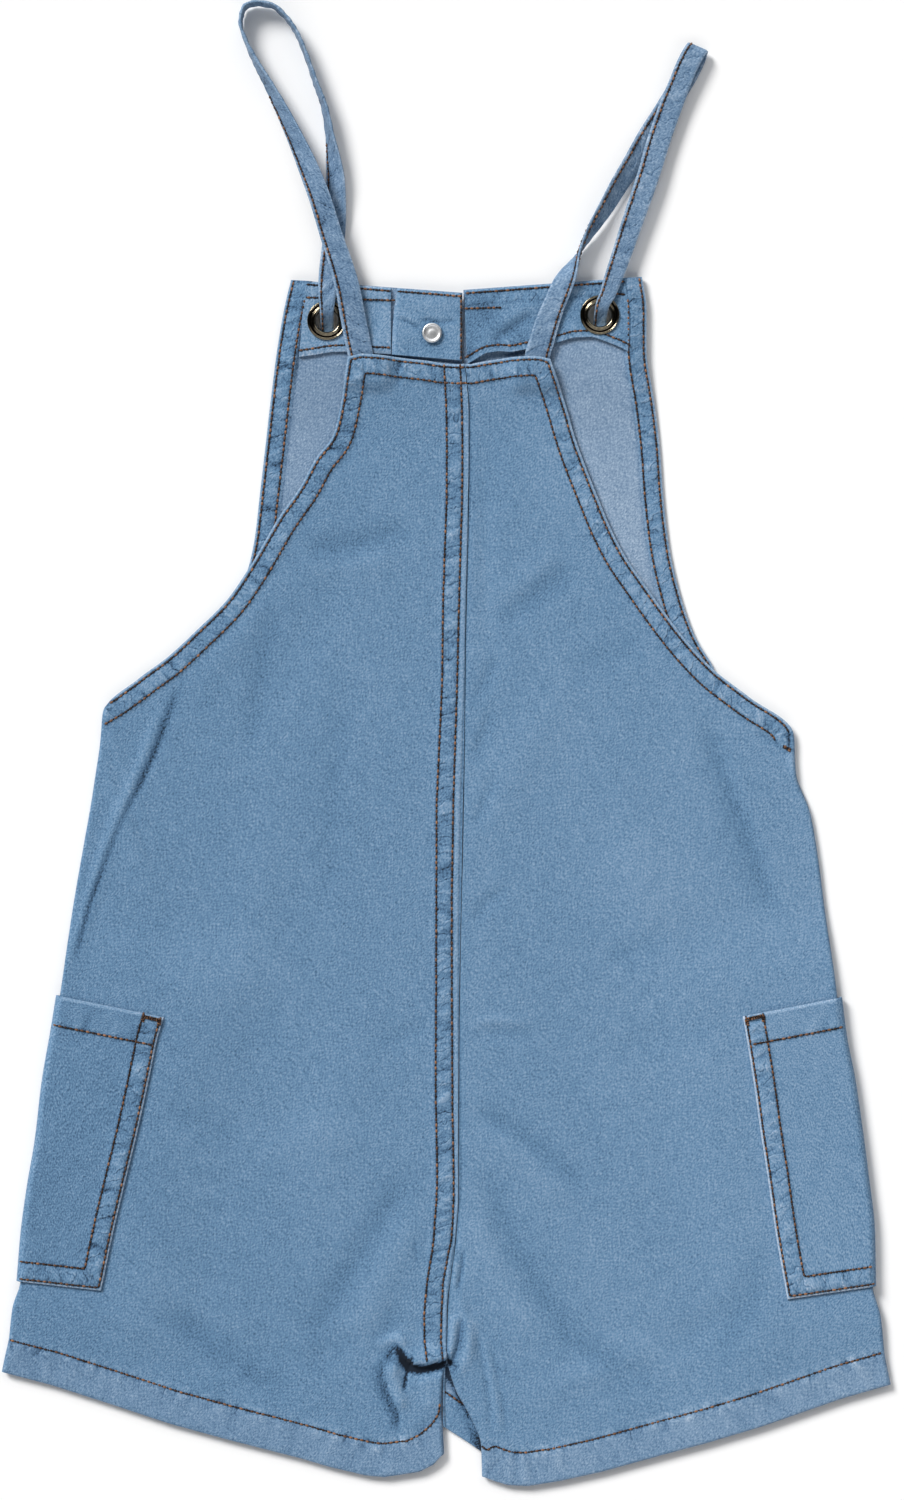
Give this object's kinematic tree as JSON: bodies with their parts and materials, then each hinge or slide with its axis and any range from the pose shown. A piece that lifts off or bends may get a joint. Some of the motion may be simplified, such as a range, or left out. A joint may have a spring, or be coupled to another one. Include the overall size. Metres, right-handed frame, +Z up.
{
  "type": "denim romper",
  "caption": "Child's sleeveless denim romper laid flat on its front: narrow back, wide bib with eyelets, long straps looped through them, wrapped side pockets, short hemmed legs.",
  "frame": {"origin": "centre of the laid garment's outline, on the surface it lies on", "axes": "+X to the right seen from above, +Y up the garment from leg hems to strap loops, +Z up from the surface, through the front to the back"},
  "size_m": [0.3738, 0.6228, 0.0103],
  "materials": {
    "denim_right_side": "soft stonewashed light blue twill",
    "denim_wrong_side": "paler wrong side of the same twill",
    "eyelet_metal": "dark antique brass, polished rim",
    "rivet_metal": "pressed plain steel"
  },
  "bodies": {
    "root": {"back_left": "denim_right_side", "back_right": "denim_right_side", "front_left": "denim_wrong_side", "front_right": "denim_wrong_side", "facing_left": "denim_right_side", "facing_right": "denim_right_side", "bib_placket": "denim_right_side", "pocket_left": "denim_right_side", "pocket_right": "denim_right_side", "strap_left": "denim_right_side", "strap_right": "denim_right_side", "eyelet_left": "eyelet_metal", "eyelet_right": "eyelet_metal", "rivet_back": "rivet_metal", "bib_button": "rivet_metal"}
  },
  "joints": []
}
